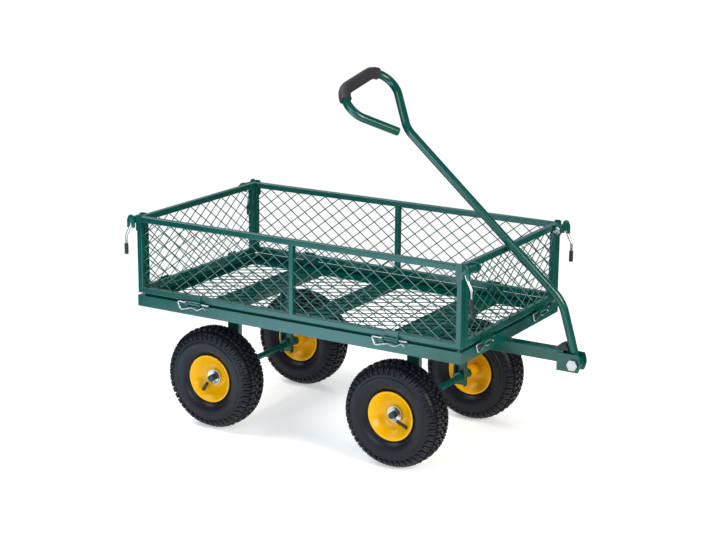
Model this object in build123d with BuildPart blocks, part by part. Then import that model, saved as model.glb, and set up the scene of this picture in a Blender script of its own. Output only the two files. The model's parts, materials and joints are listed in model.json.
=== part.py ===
# Folding hand cart: a mesh-sided bed on four air tyres, steered by a drawbar and a loop handle.
# Frame: +X forward to the drawbar, +Y to the left side, +Z up, the ground at Z = 0.
# Each wall of the bed has its own local frame: u along it, v up, w outwards from the rail's face.
import math
import os

from build123d import *

os.makedirs("parts", exist_ok=True)

# Driving dimensions, in millimetres
# Bed rails and floor
bed_length = 920.0
bed_width = 520.0
rail_bottom = 298.0
rail_height = 28.0
rail_lip = 18.0
sheet = 2.0
shelf_drop = 12.0
side_shelf = 63.0
end_shelf = 37.0
strap_width = 80.0
bolster_width = 76.0
bolster_wall = 3.0
floor_margin = 6.0
floor_gap_long = 80.0
floor_gap_wide = 40.0
floor_strand = 5.0
floor_mesh_thickness = 2.0

# Folding walls
panel_gap = 6.5
bead_height = 5.0
bead_width = 3.0
bead_inset = 11.5
panel_height = 196.5
tube = 15.0
tube_wall = 1.5
tube_round = 2.5
centre_post = 13.0
corner_gap = 2.0
end_gap = 1.0
mesh_pitch = 44.0
mesh_rise = 33.0
mesh_wire = 2.6
mesh_border = 3.0

# Hinges: a wire clip's straight leg is the pin through two ears and one knuckle
side_hinge_u = 280.0
gate_hinge_u = 150.0
pin_out = 7.0
pin_up = 5.0
clip_wire = 3.6
knuckle_diameter = 10.0
knuckle_length = 34.0
hinge_plate = 3.0
hinge_plate_height = 22.0
ear_radius = 6.3
ear_thickness = 3.0
ear_foot = 7.0
clip_length = 102.0
clip_drop = 21.0
clip_slant = 10.0
clip_clear = 2.5

# Corner latches on the two gates
latch_out = 10.5
latch_below_top = 11.0
latch_bolt_diameter = 10.0
latch_bolt_head = 18.0
latch_head_height = 8.0
rivet_rim = 1.5
lug_radius = 12.0
lug_thickness = 6.0
lug_inset = 22.0
sleeve_diameter = 19.0
hook_thickness = 6.5
hook_reach = 15.0
hook_nose_radius = 7.5
hook_leg = 18.0
hook_slot = 9.0
hook_rim = 2.0
keeper_width = 17.0
keeper_height = 41.0
keeper_plate = 3.0
keeper_rise = 4.0
lever_wire = 6.0
lever_out = 27.0
lever_drop = 84.0
lever_tip_length = 28.0
lever_tip_diameter = 10.0

# Wheels
tyre_radius = 130.0
tyre_width = 84.0
tyre_wall = 8.0
wheel_base = 524.0
track = 405.0
rim_radius = 61.0
rim_width = 62.0
rim_sheet = 2.5
rim_well = 38.0
hub_radius = 16.0
hub_bore = 12.0
hub_inner = 44.0
hub_outer = 6.0
bearing_length = 12.0
valve_diameter = 8.5
valve_tip = 18.0
valve_tip_out = 25.0
valve_lean = 16.0
valve_reach = 38.0

# Axles, legs and steering
axle_square = 20.0
axle_diameter = 16.0
axle_end = 27.0
leg_width = 33.0
leg_depth = 15.0
leg_wall = 3.0
leg_outer_y = 127.0
leg_below_axle = 22.0
washer_thickness = 2.5
washer_radius = 19.0
split_pin_diameter = 3.0
split_pin_length = 26.0
kingpin_diameter = 16.0
kingpin_hex = 24.0
steering_plate_thickness = 6.0

# Drawbar, hitch and handle: ahead of the bed's front face, and below or above its rails
drawbar_size = 30.0
drawbar_wall = 2.5
drawbar_overlap = 10.0
drawbar_ahead = 140.0
hitch_start_ahead = 126.0
hitch_nose_ahead = 186.0
hitch_plate = 4.0
hitch_plate_height = 43.0
hitch_plate_step = 5.7
hitch_plate_bow = 6.0
hitch_bolt_ahead = 168.0
hitch_bolt_below = 29.7
hitch_bolt_diameter = 12.0
hitch_bolt_hex = 24.0
hitch_head_height = 8.0
eye_radius = 14.0
stop_radius = 15.0
handle_diameter = 20.0
handle_wall = 2.0
handle_lean = 12.0
handle_shift = 2.0
bend_ahead = 140.0
bend_below_top = 112.0
neck_behind = 232.0
neck_above_top = 275.0
loop_reach = 159.0
loop_left = 132.0
loop_right = 168.0
loop_bend = 48.0
rod_bend = 90.0
neck_bend = 50.0
free_end_along = 8.0
free_end_across = 33.5
grip_diameter = 29.0
grip_long_turn = 58.0
grip_short_turn = 38.0

# Clearances: running fits, welded or pressed seats, and faces that pass each other
running = 0.05
seat = 0.02
pass_gap = 0.3
face_gap = 0.5

# Places worked out from the sizes above
rail_top = rail_bottom + rail_height
shelf_top = rail_top - shelf_drop
panel_bottom = rail_top + panel_gap
panel_top = panel_bottom + panel_height
panel_mid = (panel_bottom + panel_top) / 2
window_height = panel_height - 2 * tube
side_panel_length = bed_length - 2 * end_gap
gate_length = bed_width - 2 * tube - 2 * corner_gap
pin_z = rail_top + pin_up
pin_radius = clip_wire / 2
latch_z = panel_top - latch_below_top
latch_bolt_radius = latch_bolt_diameter / 2
lug_u = gate_length / 2 - lug_inset
hook_u = bed_width / 2 + keeper_plate + face_gap * 2
hook_radius = latch_out + end_gap - face_gap * 2
slot_drop = latch_bolt_radius + hook_rim
axle_z = tyre_radius
axle_x = wheel_base / 2
plate_top = rail_bottom - pass_gap
plate_bottom = plate_top - steering_plate_thickness
lever_tip_reach = bed_length / 2 + lever_out + lever_tip_diameter / 2
hitch_top = plate_bottom - hitch_plate_step
hitch_bottom = hitch_top - hitch_plate_height
hitch_bolt_z = plate_bottom - hitch_bolt_below

# The whole cart is centred on X = 0 between the hitch's nose and the rear latch tips.
bed_x = (lever_tip_reach - bed_length / 2 - hitch_nose_ahead) / 2
front_x = bed_x + axle_x
rear_x = bed_x - axle_x
front_face = bed_x + bed_length / 2
drawbar_start = front_x + bolster_width / 2 - drawbar_overlap
drawbar_end = front_face + drawbar_ahead
hitch_bolt_x = front_face + hitch_bolt_ahead

walls = {
    "side_panel_right": Plane((bed_x, -bed_width / 2, 0), x_dir=(1, 0, 0), z_dir=(0, -1, 0)),
    "side_panel_left": Plane((bed_x, bed_width / 2, 0), x_dir=(-1, 0, 0), z_dir=(0, 1, 0)),
    "front_gate": Plane((bed_x + bed_length / 2, 0, 0), x_dir=(0, 1, 0), z_dir=(1, 0, 0)),
    "rear_gate": Plane((bed_x - bed_length / 2, 0, 0), x_dir=(0, -1, 0), z_dir=(-1, 0, 0)),
}
side_walls = [walls["side_panel_right"], walls["side_panel_left"]]
gate_walls = [walls["front_gate"], walls["rear_gate"]]


def save(part, name):
    """Label one finished piece and write it to its own file."""
    part.label = name
    export_step(part, f"parts/{name}.step")


def across(wall, u):
    """A plane square to a wall at u: its x points outwards and its y is the height."""
    return Plane(wall.from_local_coords((u, 0, 0)), x_dir=wall.z_dir, z_dir=-wall.x_dir)


def hinge_places(wall):
    """The middles of a wall's two hinges, along u."""
    reach = side_hinge_u if wall in side_walls else gate_hinge_u
    return [-reach, reach]


# Bed rails: a web with a lip above, a bead on the lip and a shelf inside, and three straps across
with BuildPart() as side_rails:
    for wall in side_walls:
        with BuildSketch(across(wall, 0)):
            with Locations((-sheet / 2, rail_bottom + rail_height / 2)):
                Rectangle(sheet, rail_height)
        extrude(amount=bed_length / 2, both=True)
        with BuildSketch(across(wall, 0)):
            with Locations((-rail_lip / 2, rail_top - sheet / 2)):
                Rectangle(rail_lip, sheet)
            with Locations((-side_shelf / 2, shelf_top - sheet / 2)):
                Rectangle(side_shelf, sheet)
        extrude(amount=bed_length / 2 - sheet, both=True)
        with BuildSketch(across(wall, 0)):
            with Locations((-bead_inset, rail_top + bead_height / 2)):
                Rectangle(bead_width, bead_height)
        extrude(amount=bed_length / 2 - rail_lip, both=True)
save(side_rails.part, "side_rails")

with BuildPart() as end_rails:
    for wall in gate_walls:
        with BuildSketch(across(wall, 0)):
            with Locations((-sheet / 2, rail_bottom + rail_height / 2)):
                Rectangle(sheet, rail_height)
        extrude(amount=bed_width / 2 - sheet, both=True)
        with BuildSketch(across(wall, 0)):
            with Locations((-rail_lip / 2, rail_top - sheet / 2)):
                Rectangle(rail_lip, sheet)
            with Locations((-bead_inset, rail_top + bead_height / 2)):
                Rectangle(bead_width, bead_height)
        extrude(amount=bed_width / 2 - rail_lip, both=True)
        with BuildSketch(across(wall, 0)):
            with Locations((-end_shelf / 2, shelf_top - sheet / 2)):
                Rectangle(end_shelf, sheet)
        extrude(amount=bed_width / 2 - side_shelf, both=True)
save(end_rails.part, "end_rails")

with BuildPart() as floor_straps:
    with BuildSketch(Plane.XY.offset(shelf_top - sheet)):
        with Locations((rear_x, 0), (bed_x, 0), (front_x, 0)):
            Rectangle(strap_width, bed_width - 2 * side_shelf)
    extrude(amount=sheet)
save(floor_straps.part, "floor_straps")


def diamond_gaps(width, height, long, wide, strand):
    """Rows of diamond gaps that fill a rectangle, cut off square at its edges."""
    columns = max(1, round(width / long))
    rows = max(1, round(height / wide))
    step_x = width / columns / 2
    step_y = height / rows / 2
    half_strand = strand / 2 * math.hypot(step_x, step_y)
    half_x = step_x - half_strand / step_y
    half_y = step_y - half_strand / step_x
    places = []
    for column in range(2 * columns + 1):
        for row in range(2 * rows + 1):
            if (column + row) % 2:
                places.append((column * step_x - width / 2, row * step_y - height / 2))
    with BuildSketch() as gaps:
        with Locations(*places):
            Polygon((-half_x, 0), (0, -half_y), (half_x, 0), (0, half_y))
        Rectangle(width, height, mode=Mode.INTERSECT)
    return gaps.sketch


# Floor: one flat sheet of slit and stretched steel that lies on the shelves and straps
floor_length = bed_length - 2 * (rail_lip + floor_margin)
floor_width = bed_width - 2 * (rail_lip + floor_margin)
with BuildPart() as floor_mesh:
    with BuildSketch(Plane((bed_x, 0, shelf_top))):
        Rectangle(floor_length, floor_width)
        add(
            diamond_gaps(
                floor_length - 2 * floor_margin,
                floor_width - 2 * floor_margin,
                floor_gap_long,
                floor_gap_wide,
                floor_strand,
            ),
            mode=Mode.SUBTRACT,
        )
    extrude(amount=floor_mesh_thickness)
save(floor_mesh.part, "floor_mesh")


# Bolsters: open channels under the straps, which carry the legs and the kingpin
def bolster(x):
    with BuildPart() as channel:
        with BuildSketch(Plane((x, 0, rail_bottom))):
            Rectangle(bolster_width, bed_width - 2 * sheet)
        extrude(amount=shelf_top - sheet - rail_bottom)
        with BuildSketch(Plane((x, 0, rail_bottom + bolster_wall))):
            Rectangle(bolster_width - 2 * bolster_wall, bed_width - 2 * sheet)
        extrude(amount=shelf_top - sheet - rail_bottom - bolster_wall, mode=Mode.SUBTRACT)
    return channel.part


save(bolster(rear_x), "rear_bolster")
with BuildPart() as front_bolster:
    add(bolster(front_x))
    with BuildSketch(Plane((front_x, 0, rail_bottom))):
        Circle(kingpin_diameter / 2 + seat)
    extrude(amount=bolster_wall, mode=Mode.SUBTRACT)
save(front_bolster.part, "front_bolster")


# Hinge ears on the rails' outer faces, and the wire clips that pin the knuckles between them
with BuildPart() as hinge_ears:
    for wall in walls.values():
        for middle in hinge_places(wall):
            for side in (-1, 1):
                ear_u = middle + side * (knuckle_length / 2 + face_gap + ear_thickness / 2)
                with BuildSketch(across(wall, ear_u)):
                    with Locations((pin_out, pin_z)):
                        Circle(ear_radius)
                    with Locations((sheet / 4, rail_top - ear_foot / 2 - sheet / 2)):
                        Rectangle(sheet / 2, ear_foot)
                    make_hull()
                    with Locations((pin_out, pin_z)):
                        Circle(pin_radius + seat, mode=Mode.SUBTRACT)
                extrude(amount=ear_thickness / 2, both=True)
save(hinge_ears.part, "hinge_ears")

with BuildPart() as hinge_clips:
    for wall in walls.values():
        for middle in hinge_places(wall):
            back = middle - clip_length / 2
            leg_z = pin_z - ear_radius - pin_radius - clip_clear
            with BuildLine(wall.offset(pin_out)) as clip_path:
                FilletPolyline(
                    (middle + clip_length / 2, pin_z),
                    (back, pin_z),
                    (back + clip_slant, pin_z - clip_drop),
                    (middle - 0.08 * clip_length, leg_z),
                    (middle + 0.20 * clip_length, leg_z - clip_wire / 2),
                    (middle + 0.36 * clip_length, leg_z - clip_wire),
                    (middle + 0.48 * clip_length, leg_z + clip_wire),
                    radius=[6, 6, 20, 20, 9],
                )
            with BuildSketch(Plane(clip_path.wires()[0] @ 0, z_dir=clip_path.wires()[0] % 0)):
                Circle(pin_radius)
            sweep(path=clip_path.wires()[0])
save(hinge_clips.part, "hinge_clips")


# Folding walls: a closed square-tube frame, its knuckles, and the sheet of mesh inside it
def window_layout(length, posts):
    """The middles of a frame's windows along u, and their width."""
    width = (length - 2 * tube - posts * centre_post) / (posts + 1)
    first = -length / 2 + tube + width / 2
    return [first + index * (width + centre_post) for index in range(posts + 1)], width


def panel_frame(wall, length, posts):
    """A welded frame of square tube with two hinge knuckles on its outer face."""
    middles, window_width = window_layout(length, posts)
    window_places = [(middle, panel_mid) for middle in middles]
    with BuildPart() as frame:
        with BuildSketch(wall.offset(-tube)):
            with Locations((0, panel_mid)):
                Rectangle(length, panel_height)
            with Locations(*window_places):
                Rectangle(window_width, window_height, mode=Mode.SUBTRACT)
        extrude(amount=tube)
        fillet(frame.faces().filter_by(Axis(wall.origin, wall.z_dir)).edges(), tube_round)
        with BuildSketch(wall.offset(tube_wall - tube)):
            with Locations((0, panel_mid)):
                Rectangle(length - 2 * tube_wall, panel_height - 2 * tube_wall)
            with Locations(*window_places):
                Rectangle(
                    window_width + 2 * tube_wall, window_height + 2 * tube_wall, mode=Mode.SUBTRACT
                )
        extrude(amount=tube - 2 * tube_wall, mode=Mode.SUBTRACT)
        for middle in hinge_places(wall):
            with BuildSketch(wall):
                with Locations((middle, pin_z - pin_up / 2 + hinge_plate_height / 2)):
                    Rectangle(knuckle_length, hinge_plate_height)
            extrude(amount=hinge_plate)
            with BuildSketch(across(wall, middle)):
                with Locations((pin_out, pin_z)):
                    Circle(knuckle_diameter / 2)
            extrude(amount=knuckle_length / 2, both=True)
            with BuildSketch(across(wall, middle)):
                with Locations((pin_out, pin_z)):
                    Circle(pin_radius + running)
            extrude(amount=knuckle_length / 2, both=True, mode=Mode.SUBTRACT)
    return frame.part


def panel_mesh(wall, length, posts):
    """Diamond wire mesh in every window of a frame, as one flat sheet a window."""
    middles, window_width = window_layout(length, posts)
    gaps = diamond_gaps(
        window_width - 2 * mesh_border,
        window_height - 2 * mesh_border,
        mesh_pitch,
        mesh_rise,
        mesh_wire,
    )
    with BuildPart() as mesh:
        with BuildSketch(wall.offset(-(tube + mesh_wire) / 2)):
            with Locations(*[(middle, panel_mid) for middle in middles]):
                Rectangle(window_width, window_height)
            with Locations(*[(middle, panel_mid) for middle in middles]):
                add(gaps, mode=Mode.SUBTRACT)
        extrude(amount=mesh_wire)
    return mesh.part


# Side panels carry a keeper plate on the outer face of each end post
for name in ("side_panel_right", "side_panel_left"):
    wall = walls[name]
    with BuildPart() as side_panel_frame:
        add(panel_frame(wall, side_panel_length, 1))
        keeper_u = side_panel_length / 2 - keeper_width / 2
        with BuildSketch(wall):
            with Locations(
                (-keeper_u, panel_top + keeper_rise - keeper_height / 2),
                (keeper_u, panel_top + keeper_rise - keeper_height / 2),
            ):
                RectangleRounded(keeper_width, keeper_height, keeper_rise)
        extrude(amount=keeper_plate)
    save(side_panel_frame.part, f"{name}_frame")
    save(panel_mesh(wall, side_panel_length, 1), f"{name}_mesh")

# Gates fit between the side panels, and carry a lug for a latch near each end
for name in ("front_gate", "rear_gate"):
    wall = walls[name]
    with BuildPart() as gate_frame:
        add(panel_frame(wall, gate_length, 0))
        for side in (-1, 1):
            with BuildSketch(across(wall, side * lug_u)):
                with Locations((latch_out, latch_z)):
                    Circle(lug_radius)
                with Locations((sheet / 4, latch_z)):
                    Rectangle(sheet / 2, 2 * lug_radius)
                make_hull()
                with Locations((latch_out, latch_z)):
                    Circle(latch_bolt_radius + seat, mode=Mode.SUBTRACT)
            extrude(amount=lug_thickness / 2, both=True)
    save(gate_frame.part, f"{name}_frame")
    save(panel_mesh(wall, gate_length, 0), f"{name}_mesh")

    # Latch bolts: a hex head inside the lug, and a round riveted end outside the hook
    with BuildPart() as latch_bolts:
        for side in (-1, 1):
            head_u = side * (lug_u - lug_thickness / 2)
            rivet_u = side * (hook_u + hook_thickness + pass_gap)
            latch_axis = Plane(
                wall.from_local_coords((head_u, latch_z, latch_out)),
                x_dir=(0, 0, 1),
                z_dir=wall.x_dir * side,
            )
            shank_length = abs(rivet_u - head_u)
            with BuildSketch(latch_axis.offset(-latch_head_height)):
                RegularPolygon(latch_bolt_head / 2, 6, major_radius=False)
            extrude(amount=latch_head_height)
            with BuildSketch(latch_axis):
                Circle(latch_bolt_radius)
            extrude(amount=shank_length)
            with BuildSketch(latch_axis.offset(shank_length)):
                Circle(latch_bolt_radius + rivet_rim)
            extrude(amount=3, taper=20)
    save(latch_bolts.part, f"{name}_latch_bolts")


# Latch levers: a sleeve on the bolt, a slotted hook plate, and a bent rod with a rubber tip
def latch_lever(wall, side):
    sleeve_start = lug_u + lug_thickness / 2 + face_gap
    with BuildPart() as lever:
        with BuildSketch(across(wall, side * sleeve_start)):
            with Locations((latch_out, latch_z)):
                Circle(sleeve_diameter / 2)
        extrude(amount=-side * (hook_u - sleeve_start))
        with BuildSketch(across(wall, side * hook_u)):
            with Locations((latch_out, latch_z)):
                Circle(hook_radius)
            with Locations((latch_out, latch_z + hook_reach - hook_nose_radius)):
                Circle(hook_nose_radius)
            make_hull()
            with Locations((latch_out, latch_z - hook_leg / 2)):
                Rectangle(2 * hook_radius, hook_leg)
            with Locations((latch_out, latch_z - (hook_leg + slot_drop) / 2)):
                Rectangle(hook_slot, hook_leg - slot_drop, mode=Mode.SUBTRACT)
        extrude(amount=-side * hook_thickness)
        rod_plane = across(wall, side * (hook_u + hook_thickness / 2))
        with BuildLine(rod_plane) as rod_path:
            FilletPolyline(
                (latch_out, latch_z - latch_bolt_radius - hook_rim / 2),
                (latch_out, latch_z - slot_drop - lever_wire / 2),
                (lever_out, latch_z - 0.5 * lever_drop),
                (lever_out, latch_z - lever_drop),
                radius=[12, 25],
            )
        with BuildSketch(Plane(rod_path.wires()[0] @ 0, z_dir=rod_path.wires()[0] % 0)):
            Circle(lever_wire / 2)
        sweep(path=rod_path.wires()[0])
        with BuildSketch(across(wall, side * sleeve_start)):
            with Locations((latch_out, latch_z)):
                Circle(latch_bolt_radius + running)
        extrude(amount=-side * (hook_u + hook_thickness - sleeve_start), mode=Mode.SUBTRACT)
    return lever.part


def latch_tip(wall, side):
    rod_end = latch_z - lever_drop
    tip_floor = 4.0
    foot = wall.from_local_coords((side * (hook_u + hook_thickness / 2), rod_end - tip_floor, lever_out))
    with BuildPart() as tip:
        with BuildSketch(Plane(foot)):
            Circle(lever_tip_diameter / 2)
        extrude(amount=lever_tip_length)
        fillet(tip.edges().filter_by(GeomType.CIRCLE), lever_tip_diameter / 5)
        with BuildSketch(Plane(foot).offset(tip_floor - seat)):
            Circle(lever_wire / 2 + seat)
        extrude(amount=lever_tip_length, mode=Mode.SUBTRACT)
    return tip.part


for gate in ("front", "rear"):
    wall = walls[f"{gate}_gate"]
    for hand, hand_y in (("left", 1), ("right", -1)):
        side = hand_y if wall.x_dir.Y > 0 else -hand_y
        save(latch_lever(wall, side), f"{gate}_{hand}_latch_lever")
        save(latch_tip(wall, side), f"{gate}_{hand}_latch_tip")


# Legs: channels that stand on the axle, open towards the cart's middle
def leg_pair(x, top):
    bottom = axle_z - leg_below_axle
    with BuildPart() as legs:
        for side in (-1, 1):
            with BuildSketch(Plane((x, side * (leg_outer_y - leg_depth / 2), bottom))):
                Rectangle(leg_width, leg_depth)
                with Locations((0, -side * leg_wall / 2)):
                    Rectangle(leg_width - 2 * leg_wall, leg_depth - leg_wall, mode=Mode.SUBTRACT)
            extrude(amount=top - bottom)
        with BuildSketch(Plane((x, 0, axle_z), x_dir=(1, 0, 0), z_dir=(0, 1, 0))):
            Rectangle(axle_square + 2 * seat, axle_square + 2 * seat)
        extrude(amount=leg_outer_y, both=True, mode=Mode.SUBTRACT)
    return legs.part


save(leg_pair(rear_x, rail_bottom), "rear_legs")
save(leg_pair(front_x, plate_bottom), "front_legs")


# Axles: a square bar between the hubs, turned round where the wheels run
def axle(x):
    shoulder = track / 2 - hub_inner - face_gap
    end = track / 2 + axle_end
    axle_plane = Plane((x, 0, axle_z), x_dir=(1, 0, 0), z_dir=(0, 1, 0))
    with BuildPart() as bar:
        with BuildSketch(axle_plane):
            Rectangle(axle_square, axle_square)
        extrude(amount=shoulder, both=True)
        with BuildSketch(axle_plane):
            Circle(axle_diameter / 2)
        extrude(amount=end, both=True)
        chamfer(bar.faces().filter_by(Axis.Y).sort_by(Axis.Y)[0].edges(), 1)
        chamfer(bar.faces().filter_by(Axis.Y).sort_by(Axis.Y)[-1].edges(), 1)
        with BuildSketch(Plane((x, 0, axle_z))):
            with Locations((0, split_pin_y), (0, -split_pin_y)):
                Circle(split_pin_diameter / 2 + seat)
        extrude(amount=axle_diameter, both=True, mode=Mode.SUBTRACT)
    return bar.part


def axle_retainers(x):
    """A washer and a split pin at each end of an axle."""
    washer_y = track / 2 + hub_outer + face_gap
    with BuildPart() as retainers:
        for side in (-1, 1):
            washer_plane = Plane((x, side * washer_y, axle_z), x_dir=(1, 0, 0), z_dir=(0, side, 0))
            with BuildSketch(washer_plane):
                Circle(washer_radius)
                Circle(axle_diameter / 2 + seat, mode=Mode.SUBTRACT)
            extrude(amount=washer_thickness)
            with BuildSketch(Plane((x, side * split_pin_y, axle_z - split_pin_length / 2))):
                Circle(split_pin_diameter / 2)
            extrude(amount=split_pin_length - 0.7 * split_pin_diameter)
            eye = Plane((x, side * split_pin_y, axle_z + split_pin_length / 2), z_dir=(1, 0, 0))
            with BuildSketch(eye):
                Circle(split_pin_diameter)
                Circle(split_pin_diameter * 0.4, mode=Mode.SUBTRACT)
            extrude(amount=split_pin_diameter * 0.6, both=True)
    return retainers.part


split_pin_y = track / 2 + hub_outer + face_gap + washer_thickness + split_pin_diameter
save(axle(rear_x), "rear_axle")
save(axle_retainers(rear_x), "rear_axle_retainers")
save(axle(front_x), "front_axle")
save(axle_retainers(front_x), "front_axle_retainers")

# Steering: a plate that turns under the front bolster on the kingpin
with BuildPart() as steering_plate:
    with BuildSketch(Plane((front_x, 0, plate_bottom))):
        Rectangle(bolster_width, 2 * leg_outer_y)
        Circle(kingpin_diameter / 2 + running, mode=Mode.SUBTRACT)
    extrude(amount=steering_plate_thickness)
save(steering_plate.part, "steering_plate")

nut_height = shelf_top - sheet - rail_bottom - bolster_wall - face_gap
kingpin_head_height = 10.0
with BuildPart() as kingpin:
    with BuildSketch(Plane((front_x, 0, plate_bottom - pass_gap))):
        RegularPolygon(kingpin_hex / 2, 6, major_radius=False)
    extrude(amount=-kingpin_head_height)
    with BuildSketch(Plane((front_x, 0, plate_bottom - pass_gap))):
        Circle(kingpin_diameter / 2)
    extrude(amount=rail_bottom + bolster_wall + nut_height - plate_bottom + pass_gap)
save(kingpin.part, "kingpin")

with BuildPart() as kingpin_nut:
    with BuildSketch(Plane((front_x, 0, rail_bottom + bolster_wall))):
        RegularPolygon(kingpin_hex / 2, 6, major_radius=False)
        Circle(kingpin_diameter / 2 + seat, mode=Mode.SUBTRACT)
    extrude(amount=nut_height)
save(kingpin_nut.part, "kingpin_nut")

# Drawbar: a square tube under the steering plate, with two hitch plates on its sides
drawbar_mid = plate_bottom - drawbar_size / 2
with BuildPart() as drawbar:
    with BuildSketch(Plane((drawbar_start, 0, drawbar_mid), x_dir=(0, 1, 0), z_dir=(1, 0, 0))):
        RectangleRounded(drawbar_size, drawbar_size, drawbar_wall)
        Rectangle(drawbar_size - 2 * drawbar_wall, drawbar_size - 2 * drawbar_wall, mode=Mode.SUBTRACT)
    extrude(amount=drawbar_end - drawbar_start)
save(drawbar.part, "drawbar")

hitch_plane = Plane((front_face, 0, 0), x_dir=(1, 0, 0), z_dir=(0, -1, 0))
hitch_corner_ahead = hitch_nose_ahead - hitch_plate_bow
with BuildPart() as hitch_plates:
    for side in (-1, 1):
        inner = hitch_plane.offset(side * drawbar_size / 2)
        with BuildSketch(inner):
            with BuildLine():
                Polyline(
                    (hitch_corner_ahead, hitch_top),
                    (hitch_start_ahead, hitch_top),
                    (hitch_start_ahead, hitch_bottom),
                    (hitch_corner_ahead, hitch_bottom),
                )
                ThreePointArc(
                    (hitch_corner_ahead, hitch_bottom),
                    (hitch_nose_ahead, (hitch_bottom + hitch_top) / 2),
                    (hitch_corner_ahead, hitch_top),
                )
            make_face()
            with Locations((hitch_bolt_ahead, hitch_bolt_z)):
                Circle(hitch_bolt_diameter / 2 + running, mode=Mode.SUBTRACT)
        extrude(amount=side * hitch_plate)
save(hitch_plates.part, "hitch_plates")

# Hitch bolt across the plates, with its nut on the left
bolt_half = drawbar_size / 2 + hitch_plate + pass_gap
bolt_plane = Plane((hitch_bolt_x, -bolt_half, hitch_bolt_z), x_dir=(1, 0, 0), z_dir=(0, 1, 0))
hitch_nut_height = 10.0
with BuildPart() as hitch_bolt:
    with BuildSketch(bolt_plane):
        RegularPolygon(hitch_bolt_hex / 2, 6, major_radius=False)
    extrude(amount=-hitch_head_height)
    with BuildSketch(bolt_plane):
        Circle(hitch_bolt_diameter / 2)
    extrude(amount=2 * bolt_half + hitch_nut_height + 3)
save(hitch_bolt.part, "hitch_bolt")

with BuildPart() as hitch_nut:
    with BuildSketch(bolt_plane.offset(2 * bolt_half)):
        RegularPolygon(hitch_bolt_hex / 2, 6, major_radius=False)
        Circle(hitch_bolt_diameter / 2 + seat, mode=Mode.SUBTRACT)
    extrude(amount=hitch_nut_height)
save(hitch_nut.part, "hitch_nut")

# Handle: a bent tube on an eye, whose top opens into a flat loop. Rod and loop lean to the right
pivot = Vector(hitch_bolt_x, 0, hitch_bolt_z)
lean = math.radians(handle_lean)
lean_plane = Plane(
    (hitch_bolt_x, handle_shift, hitch_bolt_z),
    x_dir=(1, 0, 0),
    z_dir=(0, -math.sin(lean), math.cos(lean)),
)
rod_foot = lean_plane.origin
bend_rise = panel_top - bend_below_top - hitch_bolt_z
neck_rise = panel_top + neck_above_top - hitch_bolt_z
bend = lean_plane.from_local_coords((front_face + bend_ahead - hitch_bolt_x, 0, bend_rise))
neck = lean_plane.from_local_coords((front_face - neck_behind - hitch_bolt_x, 0, neck_rise))
along = (neck - bend).normalized()
loop_plane = Plane(neck, x_dir=along, z_dir=along.cross(lean_plane.y_dir))
lower_rod = (bend - rod_foot).normalized()
with BuildLine() as handle_path:
    FilletPolyline(
        rod_foot,
        bend,
        neck,
        loop_plane.from_local_coords((loop_reach, loop_left, 0)),
        loop_plane.from_local_coords((loop_reach, -loop_right, 0)),
        loop_plane.from_local_coords((free_end_along, -free_end_across, 0)),
        radius=[rod_bend, neck_bend, loop_bend, loop_bend],
    )
eye_plane = Plane(pivot, x_dir=(1, 0, 0), z_dir=(0, 1, 0))
with BuildPart() as handle_tube:
    with BuildSketch(Plane(rod_foot, z_dir=lower_rod)):
        Circle(handle_diameter / 2)
        Circle(handle_diameter / 2 - handle_wall, mode=Mode.SUBTRACT)
    sweep(path=handle_path.wires()[0])
    with BuildSketch(eye_plane):
        Circle(eye_radius + seat)
    extrude(amount=drawbar_size, both=True, mode=Mode.SUBTRACT)
save(handle_tube.part, "handle_tube")

with BuildPart() as handle_eye:
    with BuildSketch(eye_plane):
        Circle(eye_radius)
        Circle(hitch_bolt_diameter / 2 + running, mode=Mode.SUBTRACT)
    extrude(amount=drawbar_size / 2 - face_gap, both=True)
save(handle_eye.part, "handle_eye")

# Rest block on the drawbar's end: a half-round bumper that the parked rod leans back on
rod_at_drawbar = rod_foot + lower_rod * ((plate_bottom - hitch_bolt_z) / lower_rod.Z)
rod_slope = lower_rod.Z / math.hypot(lower_rod.X, lower_rod.Z)
stop_x = rod_at_drawbar.X - (handle_diameter / 2 + pass_gap + stop_radius) / rod_slope
stop_half = drawbar_size / 2 - drawbar_wall
with BuildPart() as handle_stop:
    with BuildSketch(Plane((stop_x, 0, plate_bottom), x_dir=(1, 0, 0), z_dir=(0, -1, 0))):
        Circle(stop_radius)
        with Locations((0, -stop_radius / 2)):
            Rectangle(2 * stop_radius, stop_radius, mode=Mode.SUBTRACT)
    extrude(amount=stop_half, both=True)
save(handle_stop.part, "handle_stop")

# Grip: a foam sleeve over the straight of the loop and part of both bends
left_flare = math.atan2(loop_left, loop_reach)
right_flare = math.atan2(loop_right - free_end_across, loop_reach - free_end_along)
grip_left = loop_left - loop_bend * math.tan(left_flare / 2 + math.pi / 4)
grip_right = loop_right - loop_bend * math.tan(right_flare / 2 + math.pi / 4)
bend_centre = loop_reach - loop_bend
with BuildLine(loop_plane) as grip_path:
    CenterArc((bend_centre, grip_left), loop_bend, grip_short_turn, -grip_short_turn)
    Line((loop_reach, grip_left), (loop_reach, -grip_right))
    CenterArc((bend_centre, -grip_right), loop_bend, 0, -grip_long_turn)
grip_wire = grip_path.wires()[0]
with BuildPart() as handle_grip:
    with BuildSketch(Plane(grip_wire @ 0, z_dir=grip_wire % 0)):
        Circle(grip_diameter / 2)
        Circle(handle_diameter / 2 + running, mode=Mode.SUBTRACT)
    sweep(path=grip_wire)
save(handle_grip.part, "handle_grip")


# Wheels: an air tyre on a rim of two dished pressings with a welded hub, two bearings and a valve
def wheel_section(x, side):
    """A plane through a wheel's axis: its x is the radius and its y points outwards."""
    middle = Vector(x, side * track / 2, axle_z)
    return Plane(middle, x_dir=(0, 0, 1), z_dir=(-side, 0, 0)), Axis(middle, (0, 1, 0))


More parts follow.
